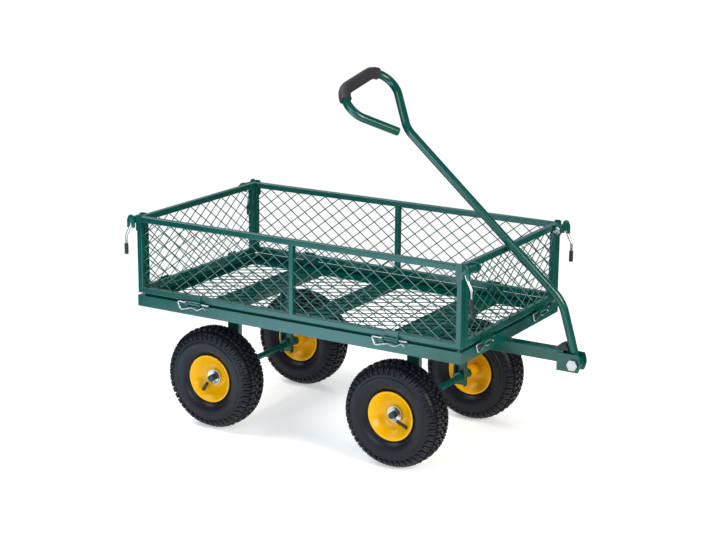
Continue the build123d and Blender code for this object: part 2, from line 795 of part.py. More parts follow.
def tyre(section, axis):
    half = tyre_width / 2
    lip = rim_width / 2 - rim_sheet - pass_gap
    bead = rim_radius - 4.3
    height = tyre_radius - rim_radius
    low = rim_radius + 0.21 * height
    wide = rim_radius + 0.49 * height
    high = tyre_radius - 0.29 * height
    shoulder = tyre_radius - 0.13 * height
    with BuildPart() as ring:
        with BuildSketch(section):
            with BuildLine():
                for side in (-1, 1):
                    Polyline((bead - 3.5, side * (lip - 8.8)), (bead, side * (lip - 2.8)))
                    Polyline((bead, side * (lip - 2.8)), (bead + 2.2, side * lip))
                    Line((bead + 2.2, side * lip), (bead + 4.5, side * lip))
                    ThreePointArc(
                        (bead + 4.5, side * lip),
                        (low, side * (half - 4)),
                        (wide, side * half),
                    )
                    ThreePointArc(
                        (wide, side * half),
                        (high, side * (half - 1)),
                        (shoulder, side * (half - 6)),
                    )
                    ThreePointArc(
                        (bead - 3.5, side * (lip - 8.8)),
                        (low, side * (half - 4 - tyre_wall)),
                        (wide, side * (half - tyre_wall)),
                    )
                    ThreePointArc(
                        (wide, side * (half - tyre_wall)),
                        (high, side * (half - 1.5 - tyre_wall)),
                        (shoulder - tyre_wall, side * (half - 8 - tyre_wall)),
                    )
                ThreePointArc((shoulder, 6 - half), (tyre_radius, 0), (shoulder, half - 6))
                ThreePointArc(
                    (shoulder - tyre_wall, 8 + tyre_wall - half),
                    (tyre_radius - tyre_wall, 0),
                    (shoulder - tyre_wall, half - 8 - tyre_wall),
                )
            make_face()
        revolve(axis=axis)
    return ring.part


def rim(section, axis):
    half = rim_width / 2
    dish = [
        (rim_well, rim_sheet),
        (rim_radius - 6.5, half - 3.5),
        (rim_radius - 3.5, half),
        (rim_radius, half),
    ]
    back = [
        (rim_radius, half - rim_sheet),
        (rim_radius - 2.5, half - rim_sheet),
        (rim_radius - 4.7, half - rim_sheet - 3),
    ]
    outer_half = [(hub_bore, hub_outer), (hub_radius, hub_outer), (hub_radius, rim_sheet)] + dish + back
    inner_half = [(radius, -out) for radius, out in reversed(dish + back)]
    hub_end = [(hub_radius, -rim_sheet), (hub_radius, -hub_inner), (hub_bore, -hub_inner)]
    with BuildPart() as pressing:
        with BuildSketch(section):
            with BuildLine():
                Polyline(*outer_half, (rim_well + 3.5, 0), *inner_half, *hub_end, close=True)
            make_face()
        revolve(axis=axis)
    return pressing.part


def bearings(section, axis):
    with BuildPart() as bushes:
        with BuildSketch(section):
            bush_wall = hub_bore - seat - axle_diameter / 2 - running
            bush_middle = (hub_bore - seat + axle_diameter / 2 + running) / 2
            with Locations(
                (bush_middle, hub_outer - bearing_length / 2), (bush_middle, bearing_length / 2 - hub_inner)
            ):
                Rectangle(bush_wall, bearing_length)
        revolve(axis=axis)
    return bushes.part


def valve(section, axis, side, turn_deg):
    """A stem that leans out of the dish towards the hub, with its foot cut to the dish's slope."""
    reach = Vector(math.cos(math.radians(turn_deg)), 0, math.sin(math.radians(turn_deg)))
    outwards = Vector(0, side, 0)
    lean = math.radians(valve_lean)
    tip = section.origin + reach * valve_tip + outwards * valve_tip_out
    with BuildPart() as stem:
        with BuildSketch(Plane(tip, z_dir=reach * math.cos(lean) - outwards * math.sin(lean))):
            Circle(valve_diameter / 2)
        extrude(amount=valve_reach)
        chamfer(stem.faces().filter_by(GeomType.PLANE).sort_by_distance(tip)[0].edges(), 1)
        dish_edge = rim_width / 2 - 3.5
        with BuildSketch(section):
            with BuildLine():
                Polyline(
                    (rim_well - seat, rim_sheet),
                    (rim_radius - 6.5 - seat, dish_edge),
                    (rim_radius + valve_diameter, dish_edge),
                    (rim_radius + valve_diameter, rim_sheet),
                    close=True,
                )
            make_face()
        revolve(axis=axis, mode=Mode.SUBTRACT)
    return stem.part


for end, wheel_x, valve_turn in (("front", front_x, -34), ("rear", rear_x, -128)):
    for hand, side in (("left", 1), ("right", -1)):
        section, spin_axis = wheel_section(wheel_x, side)
        save(tyre(section, spin_axis), f"{end}_{hand}_tyre")
        save(rim(section, spin_axis), f"{end}_{hand}_rim")
        save(bearings(section, spin_axis), f"{end}_{hand}_bearings")
        save(valve(section, spin_axis, side, valve_turn), f"{end}_{hand}_valve")
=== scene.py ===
# %% [markdown]
# # A folding hand cart
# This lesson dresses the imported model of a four-wheeled mesh cart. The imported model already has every
# tube, plate and bolt in its true place, so we load it first and build the fine pieces around it.

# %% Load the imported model
import json
import math

import bpy
from mathutils import Matrix, Vector


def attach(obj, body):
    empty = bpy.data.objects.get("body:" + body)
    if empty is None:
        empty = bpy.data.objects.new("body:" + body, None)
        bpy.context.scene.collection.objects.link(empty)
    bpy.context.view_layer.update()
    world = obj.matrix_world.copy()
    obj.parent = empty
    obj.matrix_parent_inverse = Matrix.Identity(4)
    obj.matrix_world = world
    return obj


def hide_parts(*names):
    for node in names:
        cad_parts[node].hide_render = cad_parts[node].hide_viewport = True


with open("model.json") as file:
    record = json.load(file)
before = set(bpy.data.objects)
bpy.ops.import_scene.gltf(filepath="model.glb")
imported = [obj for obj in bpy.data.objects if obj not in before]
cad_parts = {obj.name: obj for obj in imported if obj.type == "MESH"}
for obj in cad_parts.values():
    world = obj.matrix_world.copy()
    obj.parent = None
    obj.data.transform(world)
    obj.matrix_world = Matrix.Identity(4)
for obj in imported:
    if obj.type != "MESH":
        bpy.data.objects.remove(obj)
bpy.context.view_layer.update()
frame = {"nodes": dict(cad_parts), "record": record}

print("parts in the packed model:", len(frame["nodes"]))

# %% [markdown]
# The numbers below are the cart's own sizes in metres. The bed's middle lies behind the origin, because
# the origin is under the middle of the whole cart, drawbar included.

# %% Sizes that several pieces share
MM = 0.001
BED_X = -77 * MM
BED_HALF_LENGTH = 460 * MM
BED_HALF_WIDTH = 260 * MM
FRONT_FACE = BED_X + BED_HALF_LENGTH
WHEEL_BASE = 524 * MM
FRONT_AXLE = BED_X + WHEEL_BASE / 2
HALF_TRACK = 202.5 * MM
AXLE_Z = 130 * MM
PANEL_LOW = 332.5 * MM
PANEL_HIGH = 529 * MM
TUBE = 15 * MM
BED_MIDDLE = Vector((BED_X, 0, 0))
print("bed spans x from", BED_X - BED_HALF_LENGTH, "to", FRONT_FACE)

# %% [markdown]
# ## Camera
# The photograph was taken from the cart's right front, a little above the bed. The angles, distance and
# lens were worked out from the wheels and the corners of the bed.

# %% Place the camera
PHOTO_WIDTH = 716
FOCAL_PIXELS = 1678.15
SENSOR_WIDTH = 36
CAMERA_DISTANCE = 4.18494
view_turn = math.radians(31.08)
view_rise = math.radians(14.58)
view_roll = math.radians(0.42)
view_target = Vector((BED_X + 30.52 * MM, 0, 402.34 * MM))
view_back = Vector((
    math.sin(view_turn) * math.cos(view_rise),
    -math.cos(view_turn) * math.cos(view_rise),
    math.sin(view_rise),
))
level_right = Vector((math.cos(view_turn), math.sin(view_turn), 0))
level_up = view_back.cross(level_right)
camera_right = math.cos(view_roll) * level_right + math.sin(view_roll) * level_up
camera_up = math.cos(view_roll) * level_up - math.sin(view_roll) * level_right

bpy.ops.object.select_all(action="DESELECT")
bpy.ops.object.camera_add(location=view_target + view_back * CAMERA_DISTANCE)
camera = bpy.context.object
camera.name = "photo_camera"
camera.rotation_euler = Matrix((camera_right, camera_up, view_back)).transposed().to_euler()
camera.data.sensor_width = SENSOR_WIDTH
camera.data.lens = FOCAL_PIXELS / PHOTO_WIDTH * SENSOR_WIDTH
camera.data.clip_end = 60
bpy.context.scene.camera = camera
print("camera at", [round(value, 3) for value in camera.location])

# %% [markdown]
# ## Studio
# A product photograph like this one has a white floor that runs into a white background. The paint on the
# near side mirrors the bright floor in front of it, and its tops mirror the bright wall behind. So the
# floor is a real sheet of paper, which also throws light up under the bed and into the wheels. A faint
# light of its own keeps the shadow pale. It thins out into the white room, so no edge shows.

# %% Colours, shader nodes and materials
def hex_colour(code):
    """An sRGB hex colour as the linear values that Blender mixes."""
    parts = [int(code[index:index + 2], 16) / 255 for index in (1, 3, 5)]
    return [part / 12.92 if part <= 0.04045 else ((part + 0.055) / 1.055) ** 2.4 for part in parts] + [1]


def add_node(tree, kind, settings=None, links=None):
    """Adds a shader node, sets its inputs and properties by name, and links its inputs."""
    node = tree.nodes.new(kind)
    for key, value in (settings or {}).items():
        if key in node.inputs:
            node.inputs[key].default_value = value
        else:
            setattr(node, key, value)
    for key, socket in (links or {}).items():
        tree.links.new(socket, node.inputs[key])
    return node


def start_material(name, colour, roughness, metallic=0.0, specular=0.5):
    """A material with its tree, its shader and its object coordinates."""
    material = bpy.data.materials.new(name)
    material.use_nodes = True
    tree = material.node_tree
    shader = tree.nodes["Principled BSDF"]
    shader.inputs["Base Color"].default_value = hex_colour(colour)
    shader.inputs["Roughness"].default_value = roughness
    shader.inputs["Metallic"].default_value = metallic
    shader.inputs["Specular IOR Level"].default_value = specular
    coords = add_node(tree, "ShaderNodeTexCoord")
    return material, tree, shader, coords.outputs["Object"]


print("the cart's green is", [round(value, 3) for value in hex_colour("#00524b")])

# %% Floor
bpy.ops.object.select_all(action="DESELECT")
bpy.ops.mesh.primitive_plane_add(size=8, location=(0, 0, 0))
floor = bpy.context.object
floor.name = "studio_floor"
paper, paper_tree, paper_shader, paper_place = start_material(
    "white_seamless_paper", "#f4f4f4", 0.9, specular=0.1
)
paper_shader.inputs["Emission Color"].default_value = hex_colour("#ffffff")
paper_shader.inputs["Emission Strength"].default_value = 0.42
paper_spot = add_node(
    paper_tree,
    "ShaderNodeMapping",
    {"Location": (0.05, 0.3, 0), "Scale": (1, 0.75, 1)},
    {"Vector": paper_place},
)
from_spot = add_node(
    paper_tree, "ShaderNodeVectorMath", {"operation": "LENGTH"}, {"Vector": paper_spot.outputs["Vector"]}
)
paper_fade = add_node(
    paper_tree,
    "ShaderNodeMapRange",
    {"From Min": 0.85, "From Max": 1.35, "To Min": 1.0, "To Max": 0.0, "interpolation_type": "SMOOTHSTEP"},
    {"Value": from_spot.outputs["Value"]},
)
see_through = add_node(paper_tree, "ShaderNodeBsdfTransparent")
paper_mix = add_node(paper_tree, "ShaderNodeMixShader", links={"Fac": paper_fade.outputs["Result"]})
paper_tree.links.new(see_through.outputs["BSDF"], paper_mix.inputs[1])
paper_tree.links.new(paper_shader.outputs["BSDF"], paper_mix.inputs[2])
paper_tree.links.new(paper_mix.outputs["Shader"], paper_tree.nodes["Material Output"].inputs["Surface"])
floor.data.materials.append(paper)
print("floor:", floor.name)

# %% [markdown]
# The near side mirrors a patch of floor to the left of the camera, and in the photograph that patch is
# a bright, slightly blue one. A lit sheet lies there that only mirrors see.

# %% Lit sheet in front of the near side
bpy.ops.object.select_all(action="DESELECT")
bpy.ops.mesh.primitive_plane_add(size=1, location=(-0.9, -1.6, 0.002))
bpy.ops.transform.resize(value=(1.4, 2.1, 1))
lit_sheet = bpy.context.object
lit_sheet.name = "studio_lit_sheet"
lit_sheet.visible_camera = False
lit_sheet.visible_diffuse = False
lit_sheet.visible_shadow = False
glow = bpy.data.materials.new("blue_white_glow")
glow.use_nodes = True
glow_tree = glow.node_tree
glow_place = add_node(glow_tree, "ShaderNodeTexCoord")
glow_from_left = add_node(
    glow_tree, "ShaderNodeSeparateXYZ", links={"Vector": glow_place.outputs["Object"]}
)
glow_rise = add_node(
    glow_tree,
    "ShaderNodeMapRange",
    {"From Min": -0.3, "From Max": 0.15, "To Min": 0.0, "To Max": 5.0, "interpolation_type": "SMOOTHSTEP"},
    {"Value": glow_from_left.outputs["X"]},
)
glow_light = add_node(
    glow_tree,
    "ShaderNodeEmission",
    {"Color": hex_colour("#cbe9f6")},
    {"Strength": glow_rise.outputs["Result"]},
)
glow_tree.links.new(glow_light.outputs["Emission"], glow_tree.nodes["Material Output"].inputs["Surface"])
lit_sheet.data.materials.append(glow)
print("lit sheet:", lit_sheet.name)

# %% [markdown]
# The camera sees a plain white room. The paint sees a dim, slightly blue one with a brighter wall behind
# the cart, which gives the tops of the tubes their shine. Four softboxes light the cart: one above, one
# beside the camera, a warm one in front and one behind. The back one is kept out of mirrors, because it
# would draw a bright line along every tube.

# %% Room light
world = bpy.data.worlds.new("white_room")
bpy.context.scene.world = world
world.use_nodes = True
room = world.node_tree
room_place = add_node(room, "ShaderNodeTexCoord")
back_wall = add_node(
    room, "ShaderNodeVectorMath", {"operation": "DOT_PRODUCT"}, {"Vector": room_place.outputs["Generated"]}
)
back_wall.inputs[1].default_value = Vector((-0.45, 0.85, 0.28)).normalized()
room_glow = add_node(
    room,
    "ShaderNodeMapRange",
    {
        "From Min": 0.75,
        "From Max": 0.97,
        "To Min": 0.08,
        "To Max": 0.55,
        "interpolation_type": "SMOOTHSTEP",
    },
    {"Value": back_wall.outputs["Value"]},
)
room_light = add_node(
    room,
    "ShaderNodeBackground",
    {"Color": hex_colour("#e6f1ff")},
    {"Strength": room_glow.outputs["Result"]},
)
backdrop = add_node(room, "ShaderNodeBackground", {"Color": (1, 1, 1, 1), "Strength": 1.02})
ray_kind = add_node(room, "ShaderNodeLightPath")
room_mix = add_node(room, "ShaderNodeMixShader", links={"Fac": ray_kind.outputs["Is Camera Ray"]})
room.links.new(room_light.outputs["Background"], room_mix.inputs[1])
room.links.new(backdrop.outputs["Background"], room_mix.inputs[2])
room.links.new(room_mix.outputs["Shader"], room.nodes["World Output"].inputs["Surface"])
print("room:", world.name)

# %% Softboxes
LIGHTS_AIM_AT = Vector((BED_X, 0, 0.3))
softboxes = {
    "top_softbox": ((-1.9, -0.5, 2.9), 2.0, 85, "#ffffff"),
    "key_softbox": ((0.3, -2.2, 1.1), 1.2, 26, "#dcf4ff"),
    "front_softbox": ((3.0, -0.9, 1.6), 1.4, 95, "#fff4e4"),
    "back_softbox": ((-2.2, 2.6, 1.5), 1.6, 45, "#ffffff"),
}
for light_name, (place, size, power, tint) in softboxes.items():
    bpy.ops.object.light_add(type="AREA", location=place)
    softbox = bpy.context.object
    softbox.name = light_name
    softbox.data.size = size
    softbox.data.energy = power
    softbox.data.color = hex_colour(tint)[:3]
    softbox.visible_glossy = light_name != "back_softbox"
    aim = LIGHTS_AIM_AT - Vector(place)
    softbox.rotation_euler = aim.to_track_quat("-Z", "Y").to_euler()
bpy.context.scene.view_settings.view_transform = "Standard"
bpy.context.scene.view_settings.look = "None"
print("lights:", ", ".join(softboxes))

# %% [markdown]
# ## Finishes
# Each material starts from the real stuff: powder coat, zinc plate, enamel, rubber and foam. Their
# patterns read Object coordinates, so they stay put when a wall folds or a wheel turns.
#
# Powder coat is plastic dust that melts onto the steel. It flows into a skin with a faint orange peel,
# a dimple every 5 mm or so, and it is a little glossier where it ran thick. On the wires it shines more,
# and their lighter tones are painted sheen for the bright floor that the wires mirror.
# On the load floor it is darker, which is painted shade inside the walled bed, and it is duller.

# %% Green powder coat
def powder_coat(name, low_colour, high_colour, specular=0.5):
    """A green coat that drifts between two tones, with the specular level it shines at."""
    material, tree, shader, place = start_material(name, high_colour, 0.4, specular=specular)
    patches = add_node(tree, "ShaderNodeTexNoise", {"Scale": 1 / (60 * MM), "Detail": 3}, {"Vector": place})
    tones = add_node(tree, "ShaderNodeValToRGB", links={"Fac": patches.outputs["Fac"]})
    tones.color_ramp.elements[0].color = hex_colour(low_colour)
    tones.color_ramp.elements[0].position = 0.3
    tones.color_ramp.elements[1].color = hex_colour(high_colour)
    tones.color_ramp.elements[1].position = 0.7
    tree.links.new(tones.outputs["Color"], shader.inputs["Base Color"])
    gloss = add_node(
        tree, "ShaderNodeMapRange", {"To Min": 0.2, "To Max": 0.3}, {"Value": patches.outputs["Fac"]}
    )
    tree.links.new(gloss.outputs["Result"], shader.inputs["Roughness"])
    peel = add_node(tree, "ShaderNodeTexNoise", {"Scale": 1 / (5 * MM), "Detail": 0}, {"Vector": place})
    bump = add_node(
        tree, "ShaderNodeBump", {"Strength": 0.02, "Distance": 0.05 * MM}, {"Height": peel.outputs["Fac"]}
    )
    tree.links.new(bump.outputs["Normal"], shader.inputs["Normal"])
    return material


green_coat = powder_coat("green_powder_coat", "#004740", "#00524b")
# The wire coat's lighter tones are painted sheen for the bright floor that the wires mirror.
wire_coat_painted_sheen = powder_coat("green_wire_coat_painted_sheen", "#0c4c44", "#155a50", specular=0.8)
# The floor coat's darker tones are painted shade for the inside of the walled bed.
floor_coat_painted_shade = powder_coat("green_floor_coat_painted_shade", "#013a32", "#02463d", specular=0.12)
print("coats:", green_coat.name, wire_coat_painted_sheen.name, floor_coat_painted_shade.name)

# %% [markdown]
# Zinc plate is bright and slightly blue. It dulls in clouds of about 7 mm, which are a little darker and
# rougher. Black oxide would be darker, so the clips and levers in the photograph can only be zinc.

# %% Zinc-plated steel
zinc, zinc_tree, zinc_shader, zinc_place = start_material(
    "zinc_plated_steel", "#b5b9bd", 0.28, metallic=1.0
)
zinc_cloud = add_node(
    zinc_tree, "ShaderNodeTexNoise", {"Scale": 1 / (7 * MM), "Detail": 4}, {"Vector": zinc_place}
)
zinc_gloss = add_node(
    zinc_tree, "ShaderNodeMapRange", {"To Min": 0.2, "To Max": 0.42}, {"Value": zinc_cloud.outputs["Fac"]}
)
zinc_tree.links.new(zinc_gloss.outputs["Result"], zinc_shader.inputs["Roughness"])
zinc_tones = add_node(zinc_tree, "ShaderNodeValToRGB", links={"Fac": zinc_cloud.outputs["Fac"]})
zinc_tones.color_ramp.elements[0].color = hex_colour("#9da1a6")
zinc_tones.color_ramp.elements[1].color = hex_colour("#cdd1d4")
zinc_tree.links.new(zinc_tones.outputs["Color"], zinc_shader.inputs["Base Color"])
print("plating:", zinc.name)

# %% [markdown]
# The rims are dipped in yellow enamel. It is smooth and full of pigment, so it shows its own colour
# more than the room, with only a slow drift from thin to thick paint.

# %% Yellow enamel
enamel, enamel_tree, enamel_shader, enamel_place = start_material(
    "yellow_gloss_enamel", "#e8ac00", 0.26, specular=0.28
)
enamel_drift = add_node(
    enamel_tree, "ShaderNodeTexNoise", {"Scale": 1 / (45 * MM), "Detail": 2}, {"Vector": enamel_place}
)
enamel_tones = add_node(enamel_tree, "ShaderNodeValToRGB", links={"Fac": enamel_drift.outputs["Fac"]})
enamel_tones.color_ramp.elements[0].color = hex_colour("#e0a000")
enamel_tones.color_ramp.elements[1].color = hex_colour("#f0b800")
enamel_tree.links.new(enamel_tones.outputs["Color"], enamel_shader.inputs["Base Color"])
print("paint:", enamel.name)

# %% [markdown]
# Tyre rubber is nearly black, a little blue, with the low shine that its mould leaves. The small rubber
# parts and the nylon bushes are as dark but duller. Foam is pitted all over by its cells, each about
# 1.5 mm here so that they show.

# %% Rubbers, foam and nylon
def moulded(name, low_colour, high_colour, roughness, grain_mm, bump_strength, specular=0.5):
    """A dark material with a grain of this size that shows in its tone and its surface."""
    material, tree, shader, place = start_material(name, high_colour, roughness, specular=specular)
    grain = add_node(
        tree, "ShaderNodeTexNoise", {"Scale": 1 / (grain_mm * MM), "Detail": 3}, {"Vector": place}
    )
    tones = add_node(tree, "ShaderNodeValToRGB", links={"Fac": grain.outputs["Fac"]})
    tones.color_ramp.elements[0].color = hex_colour(low_colour)
    tones.color_ramp.elements[0].position = 0.25
    tones.color_ramp.elements[1].color = hex_colour(high_colour)
    tones.color_ramp.elements[1].position = 0.75
    tree.links.new(tones.outputs["Color"], shader.inputs["Base Color"])
    bump = add_node(
        tree,
        "ShaderNodeBump",
        {"Strength": bump_strength, "Distance": 0.3 * MM},
        {"Height": grain.outputs["Fac"]},
    )
    tree.links.new(bump.outputs["Normal"], shader.inputs["Normal"])
    return material


tyre_rubber = moulded("vulcanised_tyre_rubber", "#14151c", "#1f2028", 0.36, 5, 0.1, specular=0.18)
black_rubber = moulded("moulded_black_rubber", "#141516", "#202124", 0.5, 3, 0.1)
grip_foam = moulded("closed_cell_foam", "#26242b", "#37343d", 0.7, 1.5, 0.3)
nylon = moulded("black_nylon", "#151518", "#222226", 0.45, 4, 0.05)
print("soft materials:", tyre_rubber.name, black_rubber.name, grip_foam.name, nylon.name)

# %% [markdown]
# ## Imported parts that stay
# The plates, tubes and bolts have the right shape already, and the wall tubes are rounded at their edges,
# so they only need their finish. The part list says what each one is made of.

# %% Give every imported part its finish
finish_of_slot = {
    "green_powder_coat": green_coat,
    "zinc_plated_steel": zinc,
    "yellow_enamel": enamel,
    "tyre_rubber": tyre_rubber,
    "black_rubber": black_rubber,
    "foam_grip": grip_foam,
    "bearing_nylon": nylon,
}
slot_of_node = {entry["node"]: entry["material_slot"] for entry in frame["record"]["subparts"]}
for node_name, node_object in frame["nodes"].items():
    for material_slot in node_object.material_slots:
        material_slot.material = finish_of_slot[slot_of_node[node_name]]
# The floor straps take the darker coat, whose darkness is painted shade.
for material_slot in frame["nodes"]["floor_straps"].material_slots:
    material_slot.material = floor_coat_painted_shade
print("finished packed parts:", len(slot_of_node))

# %% [markdown]
# ## Modelling helpers
# Most pieces here start as a line drawn point by point, the way a profile is traced by hand: one vertex,
# extruded again and again. The line is then spun, extruded or made into wire. Copies get their own mesh.

# %% Choose, name and place
MERGE_GAP = 0.01 * MM


def choose(*pieces):
    """Selects just these objects and makes the first one active."""
    bpy.ops.object.select_all(action="DESELECT")
    for piece in pieces:
        piece.select_set(True)
    bpy.context.view_layer.objects.active = pieces[0]


def discard(*pieces):
    """Deletes patterns that have been copied."""
    choose(*pieces)
    bpy.ops.object.delete()


def rename(piece, name):
    """Gives an object and its mesh the same name."""
    piece.name = name
    piece.data.name = name


def settle():
    """Writes the chosen object's place, turn and scale into its mesh."""
    bpy.ops.object.transform_apply(location=True, rotation=True, scale=True)


def faces_of(piece):
    return f"{piece.name} {len(piece.data.polygons)} faces"


print("points closer than", MERGE_GAP / MM, "mm are merged")


# %% Draw, join, copy and finish
def draw_line(name, points):
    """A chain of edges through the points, drawn by extruding one vertex. It is left in edit mode."""
    bpy.ops.object.select_all(action="DESELECT")
    bpy.ops.mesh.primitive_plane_add(size=1 * MM, location=(0, 0, 0))
    piece = bpy.context.object
    rename(piece, name)
    bpy.ops.object.mode_set(mode="EDIT")
    bpy.ops.mesh.select_all(action="SELECT")
    bpy.ops.mesh.merge(type="CENTER")
    bpy.ops.mesh.select_all(action="SELECT")
    bpy.ops.transform.translate(value=points[0])
    for start, end in zip(points, points[1:]):
        step = Vector(end) - Vector(start)
        bpy.ops.mesh.extrude_region_move(TRANSFORM_OT_translate={"value": step})
    bpy.ops.mesh.select_all(action="SELECT")
    return piece


def close_up():
    """Merges what meets, turns the faces outwards and goes back to object mode."""
    bpy.ops.mesh.select_all(action="SELECT")
    bpy.ops.mesh.remove_doubles(threshold=MERGE_GAP)
    bpy.ops.mesh.normals_make_consistent(inside=False)
    bpy.ops.object.mode_set(mode="OBJECT")


def join(*pieces):
    """Joins the pieces into the first one."""
    choose(*pieces)
    bpy.ops.object.join()
    return bpy.context.object


def copy_piece(piece, name, shift=(0, 0, 0), turned=False):
    """A copy with its own mesh, shifted, and turned half round about the bed's middle if asked."""
    choose(piece)
    bpy.ops.object.duplicate(linked=False)
    twin = bpy.context.object
    rename(twin, name)
    bpy.ops.transform.translate(value=shift)
    if turned:
        bpy.ops.transform.rotate(value=math.pi, orient_axis="Z", center_override=BED_MIDDLE)
    settle()
    return twin


def finish_piece(piece, material, body, slot, *nodes, angle=40):
    """Gives a piece its material, smooths what is round and hangs it on the body that carries it."""
    piece.data.materials.clear()
    piece.data.materials.append(material)
    choose(piece)
    bpy.ops.object.shade_smooth_by_angle(angle=math.radians(angle))
    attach(piece, body)
    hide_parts(*nodes)


print("copies turn about", tuple(BED_MIDDLE))

# %% [markdown]
# ## Tyres
# Each wheel has a 10 inch air tyre, 260 mm across, with a smooth wall, a step in the wall at about three
# quarters of its radius, and a tread of small blocks. The carcass is a profile spun round the axle. One
# pitch of the tread is modelled at the top of the tyre and spun into 46 copies. A bump could fake the
# blocks, but they break the tyre's outline in the photograph, so they are real.

# %% Tyre carcass
WHEEL_MIDDLE = Vector((FRONT_AXLE, -HALF_TRACK, AXLE_Z))
AXLE_LINE = Vector((0, -1, 0))


def wheel_point(radius, outward, forward=0.0):
    """A point straight above the front right wheel's middle, from millimetres."""
    return WHEEL_MIDDLE + Vector((forward * MM, -outward * MM, radius * MM))


def turned_on_axle(name, profile, steps):
    """A turned piece on the front right axle, from its radii and its distances outward in millimetres."""
    piece = draw_line(name, [wheel_point(*point) for point in profile])
    bpy.ops.mesh.remove_doubles(threshold=MERGE_GAP)
    bpy.ops.mesh.select_all(action="SELECT")
    bpy.ops.mesh.spin(steps=steps, angle=math.tau, center=WHEEL_MIDDLE, axis=AXLE_LINE)
    close_up()
    return piece


tyre_half = [
    (57.4, 18), (60.8, 25.4), (62.4, 26.8), (64.6, 28), (67.2, 30.8), (70.6, 34.4), (75, 37.6), (81, 40.2),
    (88, 41.6), (94, 41.8), (96.4, 41.3), (97.4, 39.9), (98.6, 39.4), (102, 39.9), (106, 38.9), (110, 36.8),
    (113.6, 33.8), (117, 29.6), (120.6, 21.6), (122.8, 11), (123.4, 3),
]
tyre_loop = tyre_half + [(radius, -outward) for radius, outward in reversed(tyre_half)]
carcass = turned_on_axle("carcass", tyre_loop + tyre_loop[:1], 72)
print(faces_of(carcass))

# %% One pitch of tread
CROWN_RADIUS = 76.5
CROWN_MIDDLE = 53.5
CROWN_SINK = 0.15
BLOCK_HEIGHT = 8


def tread_block(outward, forward, long, wide, turn):
    """A bevelled rubber block that stands on the carcass and is turned a little about its own height."""
    crown = CROWN_MIDDLE + math.sqrt(CROWN_RADIUS ** 2 - outward ** 2)
    top = crown - CROWN_SINK
    middle = wheel_point(top - BLOCK_HEIGHT / 2, outward, forward)
    bpy.ops.object.select_all(action="DESELECT")
    bpy.ops.mesh.primitive_cube_add(size=1, location=middle)
    block = bpy.context.object
    bpy.ops.object.mode_set(mode="EDIT")
    bpy.ops.mesh.select_all(action="SELECT")
    bpy.ops.transform.resize(value=(long * MM, wide * MM, BLOCK_HEIGHT * MM), center_override=middle)
    bpy.ops.mesh.bevel(offset=1.2 * MM, segments=1, affect="EDGES")
    bpy.ops.mesh.select_all(action="SELECT")
    bpy.ops.transform.rotate(value=math.radians(turn), orient_axis="Z", center_override=middle)
    lean = math.asin(outward / CROWN_RADIUS)
    bpy.ops.transform.rotate(value=lean, orient_axis="X", center_override=middle)
    bpy.ops.object.mode_set(mode="OBJECT")
    settle()
    return block


blocks = []
for forward, flip in ((-4.4, 1), (4.4, -1)):
    blocks.append(tread_block(6.4 * flip, forward, long=7.2, wide=11.4, turn=24 * flip))
    blocks.append(tread_block(18.6, forward, long=7, wide=8.6, turn=-26 * flip))
    blocks.append(tread_block(-18.6, forward, long=7, wide=8.6, turn=26 * flip))
tread = join(*blocks)
rename(tread, "tread")
print(faces_of(tread))


# %% Shoulder lugs, one long and one short on each side
def soften_edges(piece, width, segments, sharper_than):
    """Bevels the edges that turn by more than this many degrees."""
    choose(piece)
    bevel = piece.modifiers.new("soft_edges", "BEVEL")
    bevel.width = width
    bevel.segments = segments
    bevel.limit_method = "ANGLE"
    bevel.angle_limit = math.radians(sharper_than)
    bpy.ops.object.modifier_apply(modifier=bevel.name)


LUG_LENGTH = 6.2 * MM
lugs = []
for forward, start in ((-7.8, 104.5), (1.6, 109.5)):
    lug_outline = [
        (start, 38.6), (start + 1.2, 40.9), (113, 40.2), (117.6, 37.8), (121, 34.2), (123, 29.6),
        (122.6, 26), (117, 26), (112, 33),
    ]
    for hand in (1, -1):
        outline = [wheel_point(radius, hand * outward, forward) for radius, outward in lug_outline]
        lug = draw_line("lug", outline)
        bpy.ops.mesh.edge_face_add()
        bpy.ops.mesh.extrude_region_move(TRANSFORM_OT_translate={"value": (LUG_LENGTH, 0, 0)})
        close_up()
        soften_edges(lug, 0.9 * MM, segments=1, sharper_than=50)
        lugs.append(lug)
tread = join(tread, *lugs)
print(faces_of(tread))

# %% Whole tyre
TREAD_PITCHES = 46
bpy.ops.object.mode_set(mode="EDIT")
bpy.ops.mesh.select_all(action="SELECT")
bpy.ops.mesh.spin(
    steps=TREAD_PITCHES - 1,
    dupli=True,
    angle=math.tau * (TREAD_PITCHES - 1) / TREAD_PITCHES,
    center=WHEEL_MIDDLE,
    axis=AXLE_LINE,
)
bpy.ops.mesh.select_all(action="SELECT")
bpy.ops.mesh.normals_make_consistent(inside=False)
bpy.ops.object.mode_set(mode="OBJECT")
tyre_model = join(carcass, tread)
print(faces_of(tyre_model), "for one tyre")

# %% [markdown]
# ## Rims
# A rim is two dished pressings welded back to back, with a hub tube through them. The lip is rolled over
# the tyre's bead and catches the light. The whole section is one closed line, spun round the axle.

# %% Rim
rim_face = [
    (16, 3), (18, 2.8), (26, 3), (33, 5), (39.4, 9.4), (45.6, 16), (51.4, 23.2), (55, 28.6), (56.6, 30.4),
    (58.4, 31), (60.4, 30.7), (61, 29.6), (60.4, 28.7), (58.8, 28.4), (57.2, 26.4), (55, 21),
]
rim_loop = [(12, -44), (12, 6), (15.4, 6), (16, 5.4)] + rim_face
rim_loop += [(radius, -outward) for radius, outward in reversed(rim_face)]
rim_loop += [(16, -43.4), (15.4, -44), (12, -44)]
rim_model = turned_on_axle("rim", rim_loop, 64)
print(faces_of(rim_model))

# %% [markdown]
# ## Valves
# A black rubber stem leans out of the dish towards the hub, with a ribbed cap on its end. It is a small
# profile spun about its own line, so its foot, neck and cap all come from one drawing.

